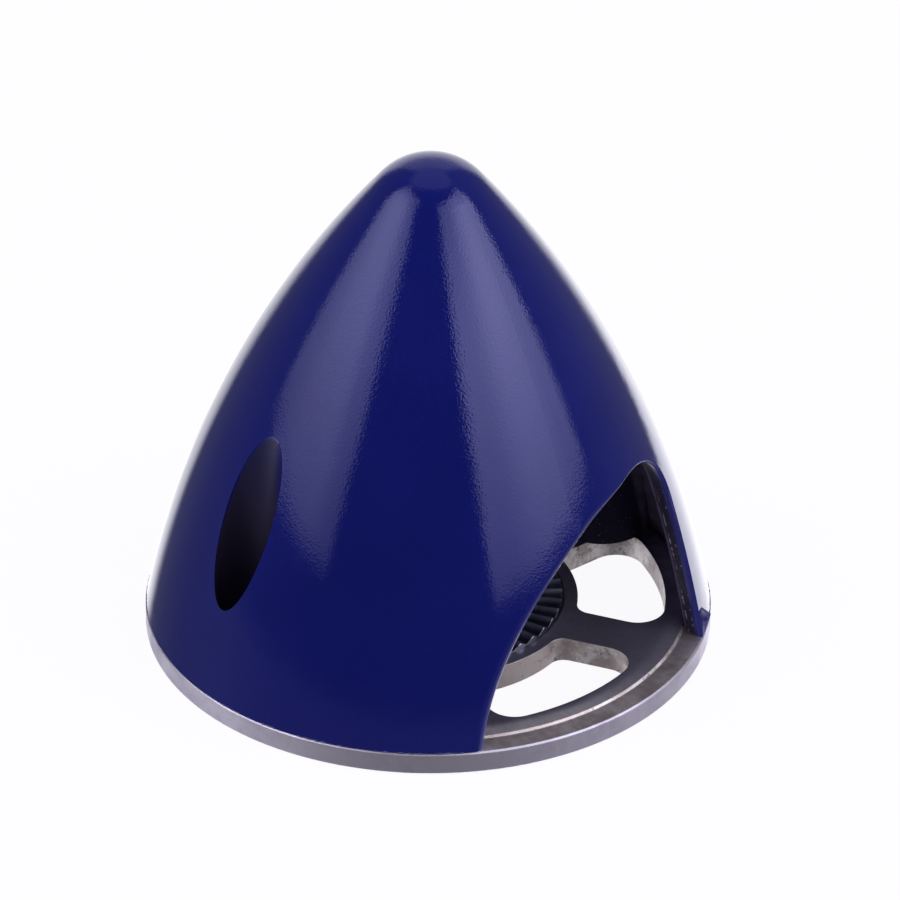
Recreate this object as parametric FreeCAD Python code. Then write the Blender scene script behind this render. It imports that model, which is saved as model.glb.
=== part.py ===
import FreeCAD, Part
import math
import os

# Propeller spinner for a model aircraft engine: a moulded nose cone with two blade
# openings, screwed to a machined back plate with a serrated drive face.
# Millimetres. +Z runs forward to the nose, the origin is the centre of the plate's rear
# face, the propeller blades leave along +X and -X, and the screws stand on +Y and -Y.

os.makedirs("parts", exist_ok=True)

# ---------------------------------------------------------------- driving dimensions

# Back plate
plate_radius = 25.5
rim_thickness = 2.1
edge_break = 0.15
register_step = 0.2
bore_radius = 4.0
bore_chamfer = 0.3

# Serrated hub face that grips the propeller
hub_radius = 12.1
hub_rise = 0.5
tooth_count = 45
tooth_depth = 0.45
hub_recess_radius = 7.0
hub_recess_margin = 0.2

# Lightening slots between the spokes
slot_count = 6
slot_inner_radius = 13.5
slot_rim_width = 4.1
spoke_width = 4.6
slot_inner_corner = 1.4
slot_outer_corner = 2.5

# Nose cone: a long flank arc that runs tangent into a small round nose
cone_setback = 0.06
total_height = 47.3
nose_radius = 6.2
flank_radius = 99.4
cone_wall = 1.8
register_clearance = 0.1

# Blade openings, seen along the blade: a long swept arc on one side, a rounded top
# corner, and a nearly upright side that leans in by the draft of the mould
opening_toe = 11.3
opening_heel = 14.7
opening_top = 20.45
opening_corner = 5.7
opening_sweep = 24.5
opening_draft_deg = 2.2
opening_sweep_round = 0.9
opening_corner_round = 0.25
opening_side_round = 0.3
opening_round_height = 18.0

# Screws that hold the cone down, and the towers moulded round them
screw_inset = 5.1
screw_radius = 1.5
screw_length = 4.0
screw_tip_chamfer = 0.3
head_radius = 2.75
head_height = 2.0
head_chamfer = 0.3
recess_width = 0.6
recess_length = 2.9
recess_depth = 1.1
head_clearance = 0.27
shank_clearance = 0.2
thread_clearance = 0.02
tower_wall = 1.35
seat_thickness = 2.0

# How far cutting tools run past the faces that they cut
overrun = 1.0

# --------------------------------------------------------------------- derived sizes

slot_outer_radius = plate_radius - slot_rim_width
screw_pitch_radius = plate_radius - screw_inset
disc_top = rim_thickness + register_step
hub_top = disc_top + hub_rise
cone_radius = plate_radius - cone_setback
seat_height = disc_top + seat_thickness
channel_radius = head_radius + head_clearance
tower_radius = channel_radius + tower_wall

Z_AXIS = FreeCAD.Vector(0, 0, 1)
ORIGIN = FreeCAD.Vector(0, 0, 0)


def meeting_point(p, p_distance, q, q_distance, side):
    """Point at the given distances from p and q, on the chosen side of the line p-q."""
    du = q[0] - p[0]
    dv = q[1] - p[1]
    span = math.hypot(du, dv)
    along = (p_distance ** 2 - q_distance ** 2 + span ** 2) / (2 * span)
    off = side * math.sqrt(p_distance ** 2 - along ** 2)
    return (p[0] + (along * du - off * dv) / span, p[1] + (along * dv + off * du) / span)


def toward(start, end, distance):
    """Point at a distance from start along the line that runs through end."""
    span = math.hypot(end[0] - start[0], end[1] - start[1])
    return (start[0] + (end[0] - start[0]) * distance / span,
            start[1] + (end[1] - start[1]) * distance / span)


def on_xz(point):
    return FreeCAD.Vector(point[0], 0, point[1])


def on_yz(point):
    return FreeCAD.Vector(0, point[0], point[1])


def arc_between(centre, start, end, place):
    """Shorter arc about a centre, from start to end."""
    radius = math.hypot(start[0] - centre[0], start[1] - centre[1])
    halfway = ((start[0] + end[0]) / 2, (start[1] + end[1]) / 2)
    middle = toward(centre, halfway, radius)
    return Part.Arc(place(start), place(middle), place(end)).toShape()


def revolved(outline):
    return Part.Face(outline).revolve(ORIGIN, Z_AXIS, 360)


def turned(profile):
    """Solid of revolution from the corners of a straight-sided profile."""
    corners = [on_xz(point) for point in profile]
    return revolved(Part.makePolygon(corners + corners[:1]))


def polar_copies(shape, count, first_deg=0.0):
    copies = []
    for index in range(count):
        turned = shape.copy()
        turned.rotate(ORIGIN, Z_AXIS, first_deg + index * 360.0 / count)
        copies.append(turned)
    return copies


# -------------------------------------------------------------- the cone's two arcs

nose_centre = (0.0, total_height - nose_radius)
cone_foot = (cone_radius, rim_thickness)
flank_centre = meeting_point(nose_centre, flank_radius - nose_radius,
                             cone_foot, flank_radius, -1)


def flank_at(height, inset):
    """Radius of the flank at a height, inset from the outer surface."""
    rise = height - flank_centre[1]
    return flank_centre[0] + math.sqrt((flank_radius - inset) ** 2 - rise ** 2)


def cone_body(inset, foot_height):
    """Solid of revolution inside the cone's outer surface by the inset."""
    foot = (flank_at(foot_height, inset), foot_height)
    tangent = toward(flank_centre, nose_centre, flank_radius - inset)
    tip = (0.0, total_height - inset)
    middle_deg = (math.degrees(math.atan2(tangent[1] - nose_centre[1], tangent[0])) + 90) / 2
    nose_middle = ((nose_radius - inset) * math.cos(math.radians(middle_deg)),
                   nose_centre[1] + (nose_radius - inset) * math.sin(math.radians(middle_deg)))
    base = (0.0, foot_height)
    flank = arc_between(flank_centre, foot, tangent, on_xz)
    nose = Part.Arc(on_xz(tangent), on_xz(nose_middle), on_xz(tip)).toShape()
    axis_line = Part.makeLine(on_xz(tip), on_xz(base))
    base_line = Part.makeLine(on_xz(base), on_xz(foot))
    return revolved(Part.Wire([base_line, flank, nose, axis_line]))


register_radius = flank_at(rim_thickness, cone_wall) - register_clearance

# ------------------------------------------------------------------------ back plate


def plate_blank():
    """Turned disc: broken rim edges, ledge for the cone, register, hub boss and bore."""
    recess_floor = hub_top - tooth_depth - hub_recess_margin
    profile = [
        (bore_radius + bore_chamfer, 0.0),
        (plate_radius - edge_break, 0.0),
        (plate_radius, edge_break),
        (plate_radius, rim_thickness - edge_break),
        (plate_radius - edge_break, rim_thickness),
        (register_radius, rim_thickness),
        (register_radius - register_step, disc_top),
        (hub_radius, disc_top),
        (hub_radius, hub_top),
        (hub_recess_radius, hub_top),
        (hub_recess_radius, recess_floor),
        (bore_radius, recess_floor),
        (bore_radius, bore_chamfer),
    ]
    return turned(profile)


def lightening_slot():
    """Window between two spokes, centred on +X, with rounded corners."""
    half_pitch = math.pi / slot_count
    corners = []
    for radius, side in ((slot_inner_radius, -1), (slot_outer_radius, -1),
                         (slot_outer_radius, 1), (slot_inner_radius, 1)):
        angle = side * (half_pitch - math.asin(spoke_width / 2 / radius))
        corners.append(FreeCAD.Vector(radius * math.cos(angle), radius * math.sin(angle), 0))
    outer_middle = FreeCAD.Vector(slot_outer_radius, 0, 0)
    inner_middle = FreeCAD.Vector(slot_inner_radius, 0, 0)
    edges = [
        Part.makeLine(corners[0], corners[1]),
        Part.Arc(corners[1], outer_middle, corners[2]).toShape(),
        Part.makeLine(corners[2], corners[3]),
        Part.Arc(corners[3], inner_middle, corners[0]).toShape(),
    ]
    window = Part.Face(Part.Wire(edges))
    window.translate(FreeCAD.Vector(0, 0, -overrun))
    solid = window.extrude(FreeCAD.Vector(0, 0, disc_top + 2 * overrun))
    inner_edges = []
    outer_edges = []
    for edge in solid.Edges:
        low = edge.Vertexes[0].Point
        high = edge.Vertexes[-1].Point
        if abs(low.z - high.z) > disc_top:
            if math.hypot(low.x, low.y) < (slot_inner_radius + slot_outer_radius) / 2:
                inner_edges.append(edge)
            else:
                outer_edges.append(edge)
    solid = solid.makeFillet(slot_inner_corner, inner_edges)
    outer_edges = [edge for edge in solid.Edges
                   if abs(edge.Vertexes[0].Point.z - edge.Vertexes[-1].Point.z) > disc_top
                   and math.hypot(edge.Vertexes[0].Point.x, edge.Vertexes[0].Point.y)
                   > slot_outer_radius - 0.001]
    return solid.makeFillet(slot_outer_corner, outer_edges)


def serration_groove():
    """Wedge between two teeth: its width and depth shrink to nothing at the axis."""
    reach = (hub_radius + overrun) / hub_radius
    half_width = hub_radius * math.tan(math.pi / tooth_count)
    apex = FreeCAD.Vector(0, 0, hub_top)
    left = FreeCAD.Vector(hub_radius * reach, -half_width * reach, hub_top)
    right = FreeCAD.Vector(hub_radius * reach, half_width * reach, hub_top)
    root = FreeCAD.Vector(hub_radius * reach, 0, hub_top - tooth_depth * reach)
    faces = []
    for a, b, c in ((apex, right, left), (apex, left, root), (apex, root, right),
                    (left, right, root)):
        faces.append(Part.Face(Part.makePolygon([a, b, c, a])))
    return Part.Solid(Part.makeShell(faces))


def back_plate():
    plate = plate_blank()
    cutters = polar_copies(lightening_slot(), slot_count)
    tapped = Part.makeCylinder(screw_radius + thread_clearance, disc_top + 2 * overrun,
                               FreeCAD.Vector(0, screw_pitch_radius, -overrun))
    cutters += polar_copies(tapped, 2)
    plate = plate.cut(cutters)
    return plate.cut(polar_copies(serration_groove(), tooth_count))


# ------------------------------------------------------------------------- nose cone


def sweep_at(centre, height):
    """Point at a height on the swept side of a blade opening."""
    rise = height - centre[1]
    return (centre[0] - math.sqrt(opening_sweep ** 2 - rise ** 2), height)


def blade_opening():
    """Prism along +X through one side of the cone, in the outline of the blade root."""
    lean = math.radians(opening_draft_deg)
    foot_height = rim_thickness - overrun
    corner_height = opening_top - opening_corner
    side_at_corner = opening_heel - math.tan(lean) * (corner_height - rim_thickness)
    corner_centre = (side_at_corner - opening_corner / math.cos(lean), corner_height)
    side_tangent = (corner_centre[0] + opening_corner * math.cos(lean),
                    corner_centre[1] + opening_corner * math.sin(lean))
    toe = (-opening_toe, rim_thickness)
    sweep_centre = meeting_point(corner_centre, opening_sweep - opening_corner,
                                 toe, opening_sweep, 1)
    sweep_tangent = toward(sweep_centre, corner_centre, opening_sweep)
    sweep_foot = sweep_at(sweep_centre, foot_height)
    sweep_middle = sweep_at(sweep_centre, opening_round_height)
    side_foot = (opening_heel + math.tan(lean) * overrun, foot_height)
    edges = [
        arc_between(sweep_centre, sweep_foot, sweep_middle, on_yz),
        arc_between(sweep_centre, sweep_middle, sweep_tangent, on_yz),
        arc_between(corner_centre, sweep_tangent, side_tangent, on_yz),
        Part.makeLine(on_yz(side_tangent), on_yz(side_foot)),
        Part.makeLine(on_yz(side_foot), on_yz(sweep_foot)),
    ]
    window = Part.Face(Part.Wire(edges))
    return window.extrude(FreeCAD.Vector(plate_radius + overrun, 0, 0))


def opening_rims(shape):
    """Outer edges of the blade openings, which the mould leaves rounded."""
    rims = []
    for edge in shape.Edges:
        if edge.Degenerated:
            continue
        points = edge.discretize(7)[1:-1]
        on_skin = all(abs(math.hypot(p.x, p.y) - flank_at(p.z, 0)) < 0.01 for p in points)
        beside_blade = all(abs(p.y) < screw_pitch_radius - tower_radius for p in points)
        above_foot = all(p.z > rim_thickness + 0.01 for p in points)
        below_top = all(p.z < opening_top + 0.01 for p in points)
        if on_skin and beside_blade and above_foot and below_top:
            rims.append(edge)
    return rims


def rim_round(point):
    """Radius of the rounding at a point on a rim: large low on the sweep, small above."""
    across = math.copysign(point.y, point.x * point.y)
    if across > opening_heel - opening_corner:
        return opening_side_round
    if point.z > opening_round_height + 0.01:
        return opening_corner_round
    return opening_sweep_round


def rounded_rims(shape):
    """Round the rims with a radius that changes evenly along each edge."""
    rims = opening_rims(shape)
    sizes = []
    for number, edge in enumerate(shape.Edges, start=1):
        if any(edge.isSame(rim) for rim in rims):
            radii = [rim_round(edge.valueAt(parameter))
                     for parameter in (edge.FirstParameter, edge.LastParameter)]
            sizes.append((number, radii[0], radii[1]))
    document = FreeCAD.newDocument("rims")
    base = document.addObject("Part::Feature", "base")
    base.Shape = shape
    fillet = document.addObject("Part::Fillet", "fillet")
    fillet.Base = base
    fillet.Edges = sizes
    document.recompute()
    return fillet.Shape


def nose_cone():
    outside = cone_body(0.0, rim_thickness)
    shell = outside.cut(cone_body(cone_wall, rim_thickness - overrun))
    shell = shell.cut(polar_copies(blade_opening(), 2))
    shell = rounded_rims(shell)
    axis_foot = FreeCAD.Vector(0, screw_pitch_radius, 0)
    tower = Part.makeCylinder(tower_radius, total_height, axis_foot)
    tower.translate(FreeCAD.Vector(0, 0, disc_top))
    tower = tower.common(cone_body(cone_wall / 2, rim_thickness))
    channel = Part.makeCylinder(channel_radius, total_height, axis_foot)
    channel.translate(FreeCAD.Vector(0, 0, seat_height))
    shank_hole = Part.makeCylinder(screw_radius + shank_clearance, seat_height + overrun,
                                   axis_foot)
    cone = shell.fuse(polar_copies(tower, 2))
    return cone.cut(polar_copies(channel, 2) + polar_copies(shank_hole, 2))


# ---------------------------------------------------------------------------- screws


def cone_screw():
    """Cheese-head screw standing on +Y: head on the seat, shank through to the plate."""
    tip = seat_height - screw_length
    profile = [
        (0.0, tip),
        (screw_radius - screw_tip_chamfer, tip),
        (screw_radius, tip + screw_tip_chamfer),
        (screw_radius, seat_height),
        (head_radius, seat_height),
        (head_radius, seat_height + head_height - head_chamfer),
        (head_radius - head_chamfer, seat_height + head_height),
        (0.0, seat_height + head_height),
    ]
    screw = turned(profile)
    arm = Part.makeBox(recess_length / 2, recess_width, recess_depth + overrun,
                       FreeCAD.Vector(0, -recess_width / 2,
                                      seat_height + head_height - recess_depth))
    screw = screw.cut(polar_copies(arm, 4, 45.0))
    screw.translate(FreeCAD.Vector(0, screw_pitch_radius, 0))
    return screw


def single_solid(shape):
    return shape.Solids[0] if len(shape.Solids) == 1 else shape


pieces = {
    "back_plate": back_plate(),
    "nose_cone": nose_cone(),
}
for number, screw in enumerate(polar_copies(cone_screw(), 2), start=1):
    pieces["cone_screw_%d" % number] = screw

for name, shape in pieces.items():
    single_solid(shape).exportStep("parts/%s.step" % name)
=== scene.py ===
import bmesh
import bpy
import math
from mathutils import Euler, Matrix, Vector, noise


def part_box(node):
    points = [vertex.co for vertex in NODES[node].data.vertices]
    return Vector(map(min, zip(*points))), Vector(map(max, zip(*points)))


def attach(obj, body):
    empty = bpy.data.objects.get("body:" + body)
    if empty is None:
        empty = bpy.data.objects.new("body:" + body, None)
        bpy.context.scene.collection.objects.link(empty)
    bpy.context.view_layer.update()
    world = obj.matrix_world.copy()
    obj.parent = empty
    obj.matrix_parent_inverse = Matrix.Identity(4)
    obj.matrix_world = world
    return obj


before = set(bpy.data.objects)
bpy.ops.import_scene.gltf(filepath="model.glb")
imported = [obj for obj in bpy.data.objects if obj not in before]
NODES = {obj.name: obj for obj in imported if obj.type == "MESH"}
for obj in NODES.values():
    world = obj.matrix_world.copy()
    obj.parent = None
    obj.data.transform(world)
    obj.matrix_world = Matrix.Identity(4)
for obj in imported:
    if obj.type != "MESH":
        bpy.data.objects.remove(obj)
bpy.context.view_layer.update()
MM = 0.001

# ------------------------------------------------------------------ sizes from the frame

cone_low, cone_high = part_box("nose_cone")
screw_low, screw_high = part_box("cone_screw_1")
CONE_RADIUS = cone_high.y
FOOT = cone_low.z
TIP = cone_high.z
HUB_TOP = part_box("back_plate")[1].z
SCREW_PITCH = (screw_low.y + screw_high.y) / 2
HEAD_CLEARANCE = 0.27 * MM
CHANNEL_RADIUS = (screw_high.x - screw_low.x) / 2 + HEAD_CLEARANCE

# The cone's flank is one arc: its radius and the nose's, as the solids have them
FLANK_RADIUS = 99.4 * MM
NOSE_RADIUS = 6.2 * MM

# ------------------------------------------------------------------ colours, linear RGB

WHITE = (1.0, 1.0, 1.0)
SKIN_DARK, SKIN_PALE = (0.0034, 0.0060, 0.101), (0.0046, 0.0074, 0.112)
SKIN_GRAIN = (0.0030, 0.0050, 0.086)
SKIN_TINT = (0.47, 0.47, 1.0)
DUST = (0.55, 0.55, 0.6)
# painted reflection: the lighter colours of the rims of the blade openings
PAINTED_LIP_REFLECTION = (0.0200, 0.0215, 0.125)
PAINTED_LIP_REFLECTION_INNER = (0.048, 0.052, 0.26)
RAW_DARK, RAW_PALE = (0.120, 0.098, 0.165), (0.190, 0.160, 0.265)
SAWN_FACE = (0.046, 0.038, 0.076)
# painted glint along the sawn face
PAINTED_GLINT_STREAK = (0.62, 0.60, 0.70)
RIM_CHIP = (0.55, 0.54, 0.66)
# painted shade on the screw towers inside the cone
TOWER_PAINTED_SHADE = (0.025, 0.021, 0.044)
RAW_FLECK = (0.30, 0.29, 0.40)
# painted shade inside the screw channels, low down and higher up
CHANNEL_SHADE_LOW, CHANNEL_SHADE_HIGH = (0.024, 0.019, 0.034), (0.010, 0.011, 0.052)

TOP_PALE, TOP_STAINED = (0.50, 0.485, 0.63), (0.36, 0.35, 0.46)
# painted light on the outer part of the level top
LIT_BORDER_PALE, LIT_BORDER_STAINED = (0.92, 0.90, 0.97), (0.62, 0.59, 0.66)
LEDGE_PALE, LEDGE_BROWN = (0.80, 0.73, 0.76), (0.38, 0.32, 0.33)
MILLED_PALE, MILLED_DULL = (0.97, 0.94, 0.96), (0.62, 0.56, 0.57)
MILLED_BROWN, MILLED_SPOT = (0.58, 0.50, 0.50), (0.17, 0.135, 0.12)
SIDE_PALE, SIDE_STAINED = (0.71, 0.67, 0.81), (0.59, 0.555, 0.69)
# painted shade in the tooth valleys and painted highlights on the crests
TOOTH_VALLEY_SHADE, TOOTH_CREST_HIGHLIGHT = (0.11, 0.125, 0.20), (0.68, 0.76, 0.95)
HUB_EDGE = (0.20, 0.20, 0.25)
# painted glints on the cutter nicks
TOOTH_NICK_GLINT = (0.97, 0.97, 1.0)

STEEL_PALE, STEEL_GRIMY = (0.42, 0.42, 0.44), (0.22, 0.21, 0.21)
FLASH_DARK, FLASH_PALE = (0.010, 0.012, 0.085), (0.075, 0.075, 0.21)

PAPER_DARK, PAPER_PALE = (0.90, 0.90, 0.92), (0.94, 0.94, 0.96)
FLOOR_NEAR, FLOOR_BEHIND = (0.16, 0.16, 0.17), (0.60, 0.60, 0.62)
FLOOR_SEEN = (0.99, 0.98, 1.0)
STUDIO_LIGHT = (0.97, 0.96, 1.0)


def flank_centre():
    """Centre of the flank arc, in radius and height, from the foot and the nose sphere."""
    nose_x, nose_z = 0.0, TIP - NOSE_RADIUS
    foot_x, foot_z = CONE_RADIUS, FOOT
    near, far = FLANK_RADIUS - NOSE_RADIUS, FLANK_RADIUS
    span = math.hypot(foot_x - nose_x, foot_z - nose_z)
    along = (near ** 2 - far ** 2 + span ** 2) / (2 * span)
    off = -math.sqrt(near ** 2 - along ** 2)
    du, dv = (foot_x - nose_x) / span, (foot_z - nose_z) / span
    return nose_x + along * du - off * dv, nose_z + along * dv + off * du


FLANK_X, FLANK_Z = flank_centre()


# ------------------------------------------------------------------------ node helper


def rgba(value):
    """A colour of three numbers gets an alpha of 1; anything else stays as it is."""
    if isinstance(value, tuple) and len(value) == 3:
        return (*value, 1.0)
    return value


class Graph:
    """Builds a node tree with short calls. An argument is a number, a tuple or a socket."""

    def __init__(self, tree):
        self.tree = tree
        tree.nodes.clear()

    def add(self, kind, **settings):
        node = self.tree.nodes.new(kind)
        for name, value in settings.items():
            setattr(node, name, value)
        return node

    def put(self, socket, value):
        if isinstance(value, bpy.types.NodeSocket):
            self.tree.links.new(value, socket)
        else:
            socket.default_value = value

    def math(self, operation, a, b=None, c=None):
        node = self.add("ShaderNodeMath", operation=operation)
        for socket, value in zip(node.inputs, (a, b, c)):
            if value is not None:
                self.put(socket, value)
        return node.outputs[0]

    def times(self, product, *factors):
        for factor in factors:
            product = self.math("MULTIPLY", product, factor)
        return product

    def plus(self, total, *terms):
        for term in terms:
            total = self.math("ADD", total, term)
        return total

    def ramp(self, value, low, high, out_low=0.0, out_high=1.0, kind="SMOOTHSTEP"):
        node = self.add("ShaderNodeMapRange", interpolation_type=kind, clamp=True)
        for name, item in (("Value", value), ("From Min", low), ("From Max", high),
                           ("To Min", out_low), ("To Max", out_high)):
            self.put(node.inputs[name], item)
        return node.outputs["Result"]

    def fall(self, value, low, high):
        """Smooth ramp from 1 at low to 0 at high."""
        return self.ramp(value, low, high, 1.0, 0.0)

    def line(self, value, low, high, out_low, out_high):
        """Straight ramp between two values, held outside them."""
        return self.ramp(value, low, high, out_low, out_high, kind="LINEAR")

    def mix(self, factor, a, b):
        node = self.add("ShaderNodeMix", data_type="RGBA")
        self.put(node.inputs["Factor"], factor)
        self.put(node.inputs["A"], rgba(a))
        self.put(node.inputs["B"], rgba(b))
        return node.outputs["Result"]

    def noise(self, vector, scale, detail=2.0, rough=0.5):
        node = self.add("ShaderNodeTexNoise")
        self.put(node.inputs["Vector"], vector)
        self.put(node.inputs["Scale"], scale)
        self.put(node.inputs["Detail"], detail)
        self.put(node.inputs["Roughness"], rough)
        return node.outputs[0]

    def voronoi(self, vector, scale, output="Distance"):
        node = self.add("ShaderNodeTexVoronoi", feature="F1")
        self.put(node.inputs["Vector"], vector)
        self.put(node.inputs["Scale"], scale)
        return node.outputs[output]

    def split(self, vector):
        node = self.add("ShaderNodeSeparateXYZ")
        self.put(node.inputs[0], vector)
        return node.outputs[0], node.outputs[1], node.outputs[2]

    def join(self, x, y, z):
        node = self.add("ShaderNodeCombineXYZ")
        for socket, value in zip(node.inputs, (x, y, z)):
            self.put(socket, value)
        return node.outputs[0]

    def length2(self, a, b):
        return self.math("SQRT", self.plus(self.times(a, a), self.times(b, b)))

    def bump(self, height, distance, normal=None):
        node = self.add("ShaderNodeBump")
        self.put(node.inputs["Height"], height)
        self.put(node.inputs["Distance"], distance)
        self.put(node.inputs["Strength"], 1.0)
        if normal is not None:
            self.put(node.inputs["Normal"], normal)
        return node.outputs["Normal"]

    def worn_edges(self, radius):
        """Normal that rounds every sharp edge a little, so that edges catch the light."""
        node = self.add("ShaderNodeBevel", samples=6)
        self.put(node.inputs["Radius"], radius)
        return node.outputs[0]

    def shader_mix(self, factor, a, b):
        node = self.add("ShaderNodeMixShader")
        self.put(node.inputs[0], factor)
        self.tree.links.new(a.outputs[0], node.inputs[1])
        self.tree.links.new(b.outputs[0], node.inputs[2])
        return node


def new_material(name):
    material = bpy.data.materials.new(name)
    material.use_nodes = True
    graph = Graph(material.node_tree)
    shader = graph.add("ShaderNodeBsdfPrincipled")
    output = graph.add("ShaderNodeOutputMaterial")
    graph.tree.links.new(shader.outputs[0], output.inputs[0])
    position = graph.add("ShaderNodeTexCoord").outputs["Object"]
    return material, graph, shader, position


# -------------------------------------------------------------------------- materials

LIP_DEPTH = (0.03 * MM, 0.16 * MM)            # where the moulded rim turns inwards
LIP_INNER_DEPTH = (0.24 * MM, 0.32 * MM)
CUT_DEPTH = (0.68 * MM, 0.80 * MM)            # where the gloss ends and raw plastic starts
CUT_WAVER = 0.12 * MM
CHIP_DEPTH = (0.95 * MM, 0.85 * MM)
GLINT_STREAK_DEPTH = (1.36 * MM, 1.42 * MM, 1.50 * MM, 1.56 * MM)
SAWN_DEPTH = (1.60 * MM, 1.74 * MM)           # just short of the inside of the wall
TOWER_DEPTH = (2.6 * MM, 3.4 * MM)
NOSE_START = (38.0 * MM, 39.0 * MM)           # above the top of both channels

HUB_BORDER = (12.2 * MM, 12.4 * MM)           # just outside the serrated ring
DISC_TOP = (2.25 * MM, 2.3 * MM)
LEDGE_START = (23.35 * MM, 23.45 * MM)
RIM_START = (25.1 * MM, 25.3 * MM)
NICK_RADII = (9.35 * MM, 9.45 * MM, 10.15 * MM, 10.25 * MM)
NICK_PITCH = 0.40 * MM


def from_screw_axis(g, x, y):
    """Distance from the axis of the nearer screw."""
    return g.length2(x, g.math("SUBTRACT", g.math("ABSOLUTE", y), SCREW_PITCH))


def moulded_colour(g, position, depth, from_axis, painted_lip_reflection, inside):
    """Colour of the cone, and the mask of the dust specks on its skin."""
    x, y, z = g.split(position)
    cloudy = g.noise(position, 90.0, 3.0)
    grain = g.noise(position, 2600.0, 2.0)
    skin = g.mix(g.ramp(cloudy, 0.3, 0.7), SKIN_DARK, SKIN_PALE)
    skin = g.mix(g.ramp(grain, 0.35, 0.75, 0.0, 0.35), skin, SKIN_GRAIN)
    chosen = g.split(g.voronoi(position, 330.0, "Color"))[0]
    speck = g.times(g.fall(g.voronoi(position, 330.0), 0.022, 0.034),
                    g.math("GREATER_THAN", chosen, 0.985))
    skin = g.mix(speck, skin, DUST)

    # painted reflection on the rims of the blade openings: a lighter lavender band, paler
    # further in, where the rounded rims reflect the light
    skin = g.mix(painted_lip_reflection, skin, PAINTED_LIP_REFLECTION)
    skin = g.mix(g.times(painted_lip_reflection, g.ramp(depth, *LIP_INNER_DEPTH)), skin, PAINTED_LIP_REFLECTION_INNER)

    # painted shade in the screw channels: dark low down and on the wall that the light
    # doesn't reach
    in_channel = g.fall(from_axis, CHANNEL_RADIUS + 0.1 * MM, CHANNEL_RADIUS + 0.3 * MM)
    unlit = g.ramp(g.times(x, g.math("SIGN", y)), -1.3 * MM, 0.3 * MM)
    unlit = g.times(unlit, g.ramp(depth, 0.02 * MM, 0.3 * MM))
    deep = g.math("MAXIMUM", unlit, g.ramp(z, 19 * MM, 10 * MM))
    deep = g.times(deep, in_channel, g.ramp(depth, 0.0, 0.1 * MM))
    shade = g.mix(g.ramp(z, 15 * MM, 27 * MM), CHANNEL_SHADE_LOW, CHANNEL_SHADE_HIGH)
    skin = g.mix(g.times(deep, 0.94), skin, shade)

    # the sawn faces and the inside
    raw = g.mix(g.ramp(g.noise(position, 700.0, 4.0), 0.3, 0.7), RAW_DARK, RAW_PALE)
    raw = g.mix(g.fall(depth, *SAWN_DEPTH), raw, SAWN_FACE)
    # painted glint: a thin broken pale line along the sawn face, low down
    glint_streak = g.times(g.ramp(depth, *GLINT_STREAK_DEPTH[:2]), g.fall(depth, *GLINT_STREAK_DEPTH[2:]),
                     g.ramp(g.noise(position, 800.0, 3.0, 0.7), 0.46, 0.56),
                     g.fall(z, 10 * MM, 16 * MM))
    raw = g.mix(glint_streak, raw, PAINTED_GLINT_STREAK)
    chips = g.times(g.ramp(depth, *CHIP_DEPTH),
                    g.ramp(g.noise(position, 2600.0, 2.0, 0.6), 0.60, 0.66))
    raw = g.mix(chips, raw, RIM_CHIP)
    # painted shade: the screw towers deep inside the cone are much darker than the raw
    # plastic
    raw = g.mix(g.ramp(depth, *TOWER_DEPTH), raw, TOWER_PAINTED_SHADE)
    flecks = g.math("GREATER_THAN", g.noise(position, 4200.0, 1.0), 0.735)
    raw = g.mix(g.times(flecks, 0.6), raw, RAW_FLECK)
    return g.mix(inside, skin, raw), speck


def blue_plastic():
    """Gloss moulded blue skin; the sawn faces and the inside are dull and purplish."""
    material, g, shader, position = new_material("moulded_blue_plastic")
    x, y, z = g.split(position)
    radius = g.length2(x, y)
    from_axis = from_screw_axis(g, x, y)
    beside_channel = g.ramp(from_axis, CHANNEL_RADIUS + 0.15 * MM,
                            CHANNEL_RADIUS + 0.35 * MM)

    # depth below the outer skin, level with the point
    rise = g.math("SUBTRACT", z, FLANK_Z)
    reach = g.math("SQRT", g.math("SUBTRACT", FLANK_RADIUS ** 2, g.times(rise, rise)))
    depth = g.math("SUBTRACT", g.plus(reach, FLANK_X), radius)
    waver = g.math("SUBTRACT", g.noise(position, 1500.0, 3.0), 0.5)
    below_nose = g.fall(z, *NOSE_START)
    inside = g.times(g.ramp(g.plus(depth, g.times(waver, CUT_WAVER)), *CUT_DEPTH),
                     below_nose, beside_channel)
    lip = g.times(g.ramp(depth, *LIP_DEPTH), below_nose)
    colour, speck = moulded_colour(g, position, depth, from_axis,
                                   g.times(lip, beside_channel), inside)
    g.put(shader.inputs["Base Color"], colour)

    rough = g.line(g.noise(position, 260.0, 4.0, 0.6), 0.35, 0.8, 0.045, 0.10)
    for mask, duller in ((lip, 0.34), (inside, 0.50), (speck, 0.6)):
        rough = g.math("MAXIMUM", rough, g.times(mask, duller))
    g.put(shader.inputs["Roughness"], rough)

    # orange peel on the skin, fainter low down, and saw marks inside
    peel = g.noise(position, 4800.0)
    swell = g.noise(position, 900.0, 1.0)
    relief = g.times(g.plus(peel, g.times(swell, 0.2)),
                     g.line(radius, 9 * MM, 22 * MM, 1.0, 0.33))
    sawn = g.times(g.noise(position, 1300.0, 5.0, 0.6), inside)
    surface = g.bump(sawn, 0.05 * MM, normal=g.bump(relief, 0.016 * MM))
    for name, value in (("Normal", surface), ("Coat Normal", surface), ("IOR", 1.5),
                        ("Specular Tint", rgba(SKIN_TINT)), ("Coat Roughness", 0.05),
                        ("Coat Weight", g.ramp(lip, 0.0, 1.0, 0.35, 0.0)),
                        ("Specular IOR Level", g.ramp(inside, 0.0, 1.0, 0.5, 0.10))):
        g.put(shader.inputs[name], value)
    return material


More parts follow.
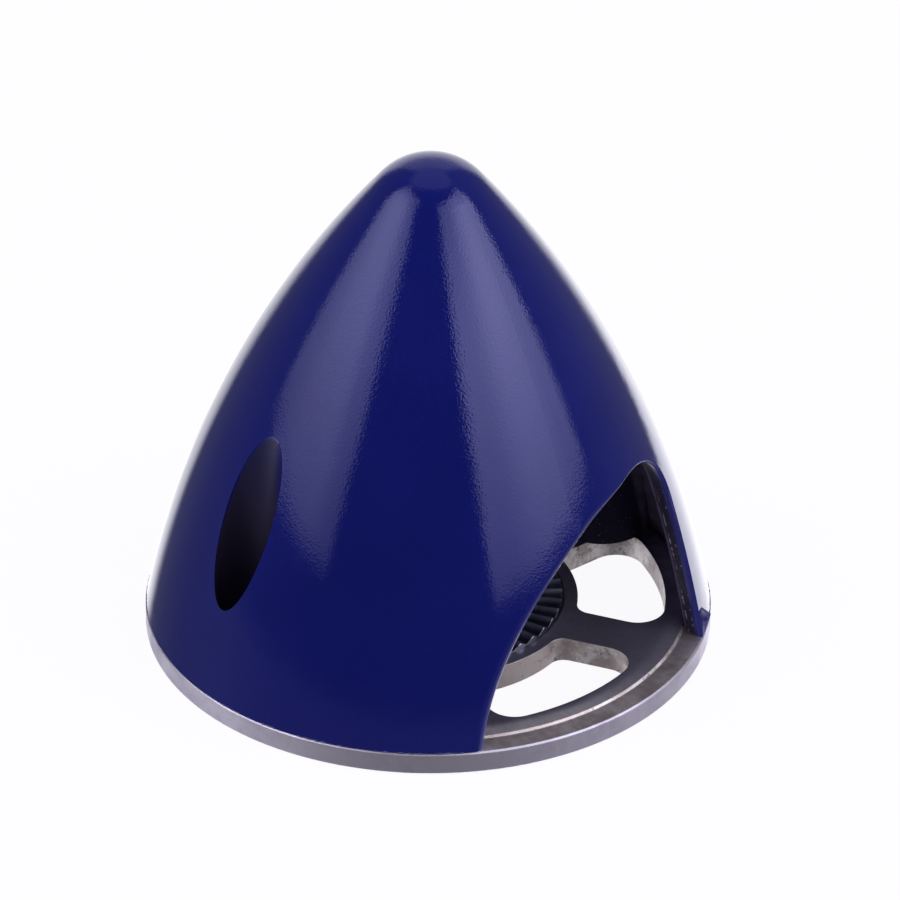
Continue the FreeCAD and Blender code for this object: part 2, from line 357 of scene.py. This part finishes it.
def turned_aluminium():
    """Satin aluminium: rings where it was turned, streaks and stains where it was milled."""
    material, g, shader, position = new_material("turned_aluminium")
    x, y, z = g.split(position)
    radius = g.length2(x, y)
    normal = g.add("ShaderNodeNewGeometry").outputs["Normal"]
    level = g.ramp(g.math("ABSOLUTE", g.split(normal)[2]), 0.75, 0.95)
    wall = g.math("SUBTRACT", 1.0, level)
    outer = g.ramp(radius, *RIM_START)
    ledge = g.times(g.ramp(radius, *LEDGE_START), level)
    hub = g.times(g.fall(radius, *HUB_BORDER), g.ramp(z, *DISC_TOP))
    stain = g.noise(position, 330.0, 5.0, 0.65)
    patch = g.noise(position, 120.0, 3.0, 0.55)

    # the level top, with painted light: paler towards the edge and most of all on one side
    # of each opening, where more light reaches it
    stained = g.ramp(stain, 0.35, 0.7)
    top = g.mix(stained, TOP_PALE, TOP_STAINED)
    lit_border = g.ramp(g.plus(radius, g.times(patch, 1.5 * MM)), 22.2 * MM, 23.4 * MM)
    across = g.times(y, g.math("SIGN", x))
    lit_border = g.times(lit_border, g.ramp(across, -4 * MM, 10 * MM, 1.0, 0.25))
    top = g.mix(lit_border, top, g.mix(stained, LIT_BORDER_PALE, LIT_BORDER_STAINED))

    # the milled walls of the slots, the ledge under the cone and the outer side
    milled = g.mix(g.ramp(patch, 0.42, 0.60), MILLED_PALE, MILLED_DULL)
    milled = g.mix(g.ramp(g.noise(position, 520.0, 5.0, 0.7), 0.42, 0.62), milled,
                   MILLED_BROWN)
    spots = g.ramp(g.noise(position, 1100.0, 4.0, 0.7), 0.58, 0.68)
    milled = g.mix(g.times(spots, 0.7), milled, MILLED_SPOT)
    colour = g.mix(wall, top, milled)
    brown = g.mix(g.ramp(stain, 0.3, 0.7), LEDGE_PALE, LEDGE_BROWN)
    colour = g.mix(g.times(ledge, 0.85), colour, brown)
    side = g.mix(g.ramp(stain, 0.35, 0.75), SIDE_PALE, SIDE_STAINED)
    colour = g.mix(g.times(outer, wall), colour, side)

    # the serrated hub: painted shade in the valleys, painted highlights on the crests, and
    # rings of painted glints where the cutter nicked the crests
    crest = g.ramp(z, HUB_TOP - 0.30 * MM, HUB_TOP - 0.03 * MM)
    teeth = g.mix(crest, TOOTH_VALLEY_SHADE, TOOTH_CREST_HIGHLIGHT)
    hub_side = g.times(g.ramp(radius, 11.9 * MM, 12.0 * MM),
                       g.fall(z, HUB_TOP - 0.20 * MM, HUB_TOP - 0.10 * MM))
    teeth = g.mix(hub_side, teeth, HUB_EDGE)
    # painted glints: white dots where the rings of cutter nicks cross the crests
    ripple = g.math("SINE", g.times(radius, 2 * math.pi / NICK_PITCH))
    nick_glint = g.times(g.ramp(radius, *NICK_RADII[:2]), g.fall(radius, *NICK_RADII[2:]),
                   g.ramp(ripple, 0.2, 0.8))
    teeth = g.mix(g.times(nick_glint, crest), teeth, TOOTH_NICK_GLINT)
    g.put(shader.inputs["Base Color"], g.mix(hub, colour, teeth))

    # tool marks: rings on top, lines round the side, upright streaks in the slots
    angle = g.math("ARCTAN2", y, x)
    rings = g.noise(g.join(radius, g.times(angle, 0.00025), 0.0), 9000.0, 3.0, 0.7)
    lines = g.noise(g.join(g.times(angle, 0.0012), 0.0, z), 16000.0, 3.0, 0.7)
    upright = g.noise(g.join(x, y, g.times(z, 0.06)), 4200.0, 3.0, 0.6)
    relief = g.mix(wall, rings, g.mix(outer, upright, lines))
    surface = g.bump(stain, 0.02 * MM, normal=g.worn_edges(0.08 * MM))
    g.put(shader.inputs["Normal"], g.bump(relief, 0.010 * MM, normal=surface))
    g.put(shader.inputs["Roughness"], g.plus(g.line(stain, 0.3, 0.75, 0.44, 0.58),
                                             g.times(hub, -0.16),
                                             g.times(lit_border, level, 0.14)))
    shader.inputs["Metallic"].default_value = 1.0
    return material


def screw_steel():
    """Dull steel with turning lines and grime."""
    material, g, shader, position = new_material("screw_steel")
    x, y, z = g.split(position)
    grime = g.noise(position, 900.0, 4.0, 0.6)
    g.put(shader.inputs["Base Color"],
          g.mix(g.ramp(grime, 0.35, 0.7), STEEL_PALE, STEEL_GRIMY))
    g.put(shader.inputs["Roughness"], g.line(grime, 0.3, 0.7, 0.28, 0.5))
    rings = g.noise(g.join(from_screw_axis(g, x, y), 0.0, z), 9000.0)
    g.put(shader.inputs["Normal"], g.bump(rings, 0.008 * MM))
    shader.inputs["Metallic"].default_value = 1.0
    return material


def flash_plastic():
    """Thin torn flash of the same plastic, a little paler where it is stretched."""
    material, g, shader, position = new_material("torn_flash_plastic")
    tear = g.noise(position, 1600.0, 4.0, 0.6)
    g.put(shader.inputs["Base Color"],
          g.mix(g.ramp(tear, 0.35, 0.7), FLASH_DARK, FLASH_PALE))
    g.put(shader.inputs["Roughness"], g.line(tear, 0.3, 0.7, 0.22, 0.45))
    g.put(shader.inputs["Normal"], g.bump(tear, 0.03 * MM))
    return material


MATERIALS = {
    "nose_cone": blue_plastic(),
    "back_plate": turned_aluminium(),
}
MATERIALS["cone_screw_1"] = MATERIALS["cone_screw_2"] = screw_steel()
for node_name, material in MATERIALS.items():
    mesh = NODES[node_name].data
    mesh.materials.clear()
    mesh.materials.append(material)


# ------------------------------------------------------- torn flash along the cone's foot

# The flash starts past the steep side of one opening and ends short of the sweep of the
# other: how far those are from the plane of the blades, on the foot's radius, all in mm
FLASH_START, FLASH_END, FLASH_RADIUS = 14.9, 12.6, 25.44
FLASH_STEPS = 420
CURL_DEG, CURL_SPREAD_DEG = 39.4, 1.7         # the one place where it stands up and curls
CURL_HEIGHT, CURL_OUT, CURL_LEAN = 2.1, 0.08, 0.30


def flash_ring(angle):
    """Outline of the flash at an angle, as pairs of radius and height."""
    where = Vector((math.cos(angle) * 9, math.sin(angle) * 9, 3.0))
    coarse = noise.noise(where * 1.3)
    fine = noise.noise(where * 9.0)
    curl = math.exp(-((math.degrees(angle) - CURL_DEG) / CURL_SPREAD_DEG) ** 2)
    tall = (max(0.02, 0.06 + 0.09 * coarse + 0.10 * fine) + CURL_HEIGHT * curl) * MM
    out = (max(0.0, 0.02 + 0.03 * coarse + 0.05 * fine) + CURL_OUT * curl) * MM
    skin = FLANK_X + math.sqrt(FLANK_RADIUS ** 2 - (FOOT + tall - FLANK_Z) ** 2)
    return [(CONE_RADIUS - 0.06 * MM, FOOT + 0.01 * MM),
            (CONE_RADIUS + out, FOOT + 0.01 * MM),
            (CONE_RADIUS + out * 0.8 + CURL_LEAN * curl * MM, FOOT + tall * 0.72),
            (skin - 0.01 * MM, FOOT + tall)]


def foot_flash():
    """Ragged flash that the mould left round the cone's lower edge, between the openings."""
    mesh = bmesh.new()
    for turn in (0.0, math.pi):
        first = math.asin(FLASH_START / FLASH_RADIUS) + turn
        last = math.pi - math.asin(FLASH_END / FLASH_RADIUS) + turn
        rows = []
        for index in range(FLASH_STEPS + 1):
            angle = first + (last - first) * index / FLASH_STEPS
            rows.append([mesh.verts.new((r * math.cos(angle), r * math.sin(angle), h))
                         for r, h in flash_ring(angle)])
        for a, b in zip(rows, rows[1:]):
            for k in range(len(a) - 1):
                mesh.faces.new((a[k], b[k], b[k + 1], a[k + 1]))
    data = bpy.data.meshes.new("foot_flash")
    mesh.normal_update()
    mesh.to_mesh(data)
    mesh.free()
    data.shade_smooth()
    data.materials.append(flash_plastic())
    piece = bpy.data.objects.new("foot_flash", data)
    bpy.context.scene.collection.objects.link(piece)
    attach(piece, "root")


foot_flash()


# ---------------------------------------------------------------------- floor and light

CAMERA_SPOT = Vector((0.4220, -0.3435, 0.3551))
toward_camera = Vector((CAMERA_SPOT.x, CAMERA_SPOT.y, 0)).normalized()
FLOOR_SIZE = 3.0
FLOOR_GLOW = 0.16                             # light that comes back up to the object
FLOOR_OWN_LIGHT = 0.955                       # the rest of what the camera sees is lit


def floor():
    """Pale floor: near white, and keeps the shadow. Gloss looks through it to the world."""
    corners = [(x * FLOOR_SIZE, y * FLOOR_SIZE, 0)
               for x, y in ((-1, -1), (1, -1), (1, 1), (-1, 1))]
    data = bpy.data.meshes.new("floor")
    data.from_pydata(corners, [], [(0, 1, 2, 3)])
    item = bpy.data.objects.new("floor", data)
    item.location = (0, 0, -0.01 * MM)
    bpy.context.scene.collection.objects.link(item)
    material = bpy.data.materials.new("pale_floor")
    material.use_nodes = True
    g = Graph(material.node_tree)
    position = g.add("ShaderNodeNewGeometry").outputs["Position"]
    x, y = g.split(position)[:2]
    away = g.times(g.plus(g.times(x, toward_camera.x), g.times(y, toward_camera.y)), -1.0)

    # what the camera sees
    paper = g.add("ShaderNodeBsdfDiffuse")
    g.put(paper.inputs["Color"],
          g.mix(g.noise(position, 120.0, 3.0), PAPER_DARK, PAPER_PALE))
    seen = g.add("ShaderNodeEmission")
    seen.inputs["Color"].default_value = rgba(FLOOR_SEEN)
    to_eye = g.shader_mix(FLOOR_OWN_LIGHT, paper, seen)

    # what lights the object from below, dimmer in front of it than behind
    dim = g.add("ShaderNodeBsdfDiffuse")
    g.put(dim.inputs["Color"], g.mix(g.ramp(away, -60 * MM, 40 * MM), FLOOR_NEAR,
                                     FLOOR_BEHIND))
    glow = g.add("ShaderNodeEmission")
    glow.inputs["Strength"].default_value = FLOOR_GLOW
    upward = g.add("ShaderNodeAddShader")
    g.tree.links.new(dim.outputs[0], upward.inputs[0])
    g.tree.links.new(glow.outputs[0], upward.inputs[1])

    path = g.add("ShaderNodeLightPath")
    lit = g.shader_mix(path.outputs["Is Camera Ray"], upward, to_eye)
    through = g.math("MAXIMUM", path.outputs["Is Glossy Ray"],
                     path.outputs["Is Transmission Ray"])
    whole = g.shader_mix(through, lit, g.add("ShaderNodeBsdfTransparent"))
    output = g.add("ShaderNodeOutputMaterial")
    g.tree.links.new(whole.outputs[0], output.inputs[0])
    data.materials.append(material)


BOX_SOFTNESS = 0.35                           # half width of a box's soft edge, in degrees
BOX_LEAN = 0.2                                # how much its edges lean outwards with height


def soft_box(g, flat, height, centre, near_edge, far_edge, low, high):
    """Mask of one tall soft light in the world, and the angle across it in degrees."""
    turn = math.radians(centre)
    x, y = flat
    along = g.plus(g.times(x, math.cos(turn)), g.times(y, math.sin(turn)))
    across = g.math("SUBTRACT", g.times(y, math.cos(turn)), g.times(x, math.sin(turn)))
    angle = g.times(g.math("ARCTAN2", across, along), 180 / math.pi)
    start = g.math("SUBTRACT", angle, near_edge)
    end = g.math("SUBTRACT", g.plus(g.times(height, BOX_LEAN), far_edge), angle)
    mask = g.times(g.ramp(start, -BOX_SOFTNESS, BOX_SOFTNESS),
                   g.ramp(end, -BOX_SOFTNESS, BOX_SOFTNESS),
                   g.ramp(height, low - BOX_SOFTNESS, low + BOX_SOFTNESS),
                   g.fall(height, high - 2.0, high + 2.0))
    return mask, angle


def both_boxes(g, flat, height):
    """Brightness of the two soft boxes: more upwards, less at the edges and the top."""
    leaning_edge = g.math("MULTIPLY_ADD", height, -BOX_LEAN, -29.5)
    right, across = soft_box(g, flat, height, 20.0, leaning_edge, 28.5, 5.0, 56.0)
    right = g.times(right,
                    g.line(height, 5.0, 29.0, 1.40, 3.75),
                    g.ramp(height, 34.0, 50.0, 1.0, 0.58),
                    g.ramp(across, -24.0, 2.0, 0.60, 1.0),
                    g.ramp(across, 10.0, 24.0, 1.0, 0.75))
    left, across = soft_box(g, flat, height, -113.0, -28.5, 27.0, 5.6, 60.5)
    left = g.times(left,
                   g.line(height, 3.0, 31.0, 0.70, 2.75),
                   g.ramp(height, 41.0, 57.0, 1.0, 0.58),
                   g.ramp(across, -29.0, -3.0, 0.65, 1.0),
                   g.ramp(across, 11.0, 27.0, 1.0, 0.58))
    return g.plus(right, left)


LAMP_HEIGHT_DEG = 77.0
LAMP_HALF_WIDTH_DEG, LAMP_HALF_DEPTH_DEG = 27.0, 20.0
LAMP_BRIGHTNESS = 0.44


def overhead_lamp(g, direction):
    """Brightness of a wide dim lamp almost straight above, a little behind the object."""
    tilt = math.radians(LAMP_HEIGHT_DEG)
    wide = (toward_camera.y, -toward_camera.x, 0.0)
    deep = (-toward_camera.x * math.sin(tilt), -toward_camera.y * math.sin(tilt),
            -math.cos(tilt))
    offsets = []
    for axis, half_angle in ((wide, LAMP_HALF_WIDTH_DEG), (deep, LAMP_HALF_DEPTH_DEG)):
        node = g.add("ShaderNodeVectorMath", operation="DOT_PRODUCT")
        g.put(node.inputs[0], direction)
        g.put(node.inputs[1], axis)
        offsets.append(g.math("DIVIDE", node.outputs["Value"],
                              math.sin(math.radians(half_angle))))
    above = g.math("GREATER_THAN", g.split(direction)[2], 0.5)
    return g.times(above, g.ramp(g.length2(*offsets), 0.95, 1.05, LAMP_BRIGHTNESS, 0.0))


def studio():
    """World: two tall soft boxes in a dim room with a pale side behind the object."""
    world = bpy.data.worlds.new("studio")
    bpy.context.scene.world = world
    world.use_nodes = True
    g = Graph(world.node_tree)
    direction = g.add("ShaderNodeTexCoord").outputs["Generated"]
    x, y, z = g.split(direction)
    height = g.times(g.math("ARCSINE", z), 180 / math.pi)

    # facing is 1 towards the camera's side and -1 behind; side is 1 on the right
    flat = g.math("MAXIMUM", g.length2(x, y), 0.001)
    facing = g.math("DIVIDE", g.plus(g.times(x, toward_camera.x),
                                     g.times(y, toward_camera.y)), flat)
    side = g.math("DIVIDE", g.math("SUBTRACT", g.times(y, toward_camera.x),
                                   g.times(x, toward_camera.y)), flat)

    # the room, and the table's near part under the object's gloss
    room = g.ramp(facing, -0.5, 0.9, 0.13, 0.05)
    room = g.plus(room,
                  g.times(g.ramp(side, 0.2, 0.9, 0.0, 0.06), g.ramp(facing, 0.3, -0.3)),
                  g.times(g.ramp(height, -5.0, -9.0, 0.0, 0.12),
                          g.ramp(facing, -0.5, 0.1)))

    # the pale side behind: white near the floor, greyer above, wider low on the right
    reach = g.times(g.ramp(side, 0.1, 0.4), g.ramp(height, -16.0, -21.0))
    behind = g.plus(facing, g.times(reach, -0.12))
    pale_side = g.times(g.ramp(behind, -0.92, -0.81, 1.12, 0.0),
                        g.ramp(height, 12.0, 28.0, 1.0, 0.52),
                        g.plus(1.0, g.times(reach, 0.50)),
                        g.ramp(height, 46.0, 66.0, 1.0, 0.35))

    # light that comes back up from the table, seen by the upright metal faces
    low_side = g.times(g.ramp(side, -0.3, 0.3, 0.95, 0.48), g.ramp(facing, 0.95, -0.35),
                       g.ramp(height, -25.0, -36.0))
    room = g.math("MAXIMUM", g.math("MAXIMUM", room, pale_side), overhead_lamp(g, direction))
    mirrored = g.plus(room, both_boxes(g, (x, y), height), low_side)

    # matt surfaces also get soft light from both sides, from above and from the front
    fill = g.plus(g.ramp(side, 0.25, 0.9, 0.0, 0.95), g.ramp(side, -0.25, -0.9, 0.0, 0.95))
    fill = g.plus(g.times(fill, g.ramp(height, -25.0, -5.0)),
                  g.ramp(height, 35.0, 75.0, 0.0, 0.30),
                  g.ramp(facing, 0.2, 0.9, 0.0, 0.10))
    path = g.add("ShaderNodeLightPath")
    lit = g.add("ShaderNodeBackground")
    lit.inputs["Color"].default_value = rgba(STUDIO_LIGHT)
    g.put(lit.inputs["Strength"], g.plus(mirrored, g.times(
        fill, path.outputs["Is Diffuse Ray"])))
    seen = g.add("ShaderNodeBackground")
    seen.inputs["Color"].default_value = rgba(WHITE)
    mixed = g.shader_mix(path.outputs["Is Camera Ray"], lit, seen)
    output = g.add("ShaderNodeOutputWorld")
    g.tree.links.new(mixed.outputs[0], output.inputs[0])


floor()
studio()

# ------------------------------------------------------------------------------ camera

CAMERA_TILT_DEG, CAMERA_TURN_DEG, CAMERA_ROLL_DEG = 58.19, 50.66, 0.47

camera_data = bpy.data.cameras.new("camera")
camera_data.lens = 287.31
camera_data.sensor_width = 36.0
camera_data.clip_start = 0.01
camera_data.clip_end = 20.0
camera = bpy.data.objects.new("camera", camera_data)
bpy.context.scene.collection.objects.link(camera)
aim = Euler((math.radians(CAMERA_TILT_DEG), 0.0, math.radians(CAMERA_TURN_DEG)), "XYZ")
camera.matrix_world = (Matrix.Translation(CAMERA_SPOT) @ aim.to_matrix().to_4x4()
                       @ Matrix.Rotation(math.radians(CAMERA_ROLL_DEG), 4, "Z"))
bpy.context.scene.camera = camera
bpy.context.scene.view_settings.view_transform = "Standard"
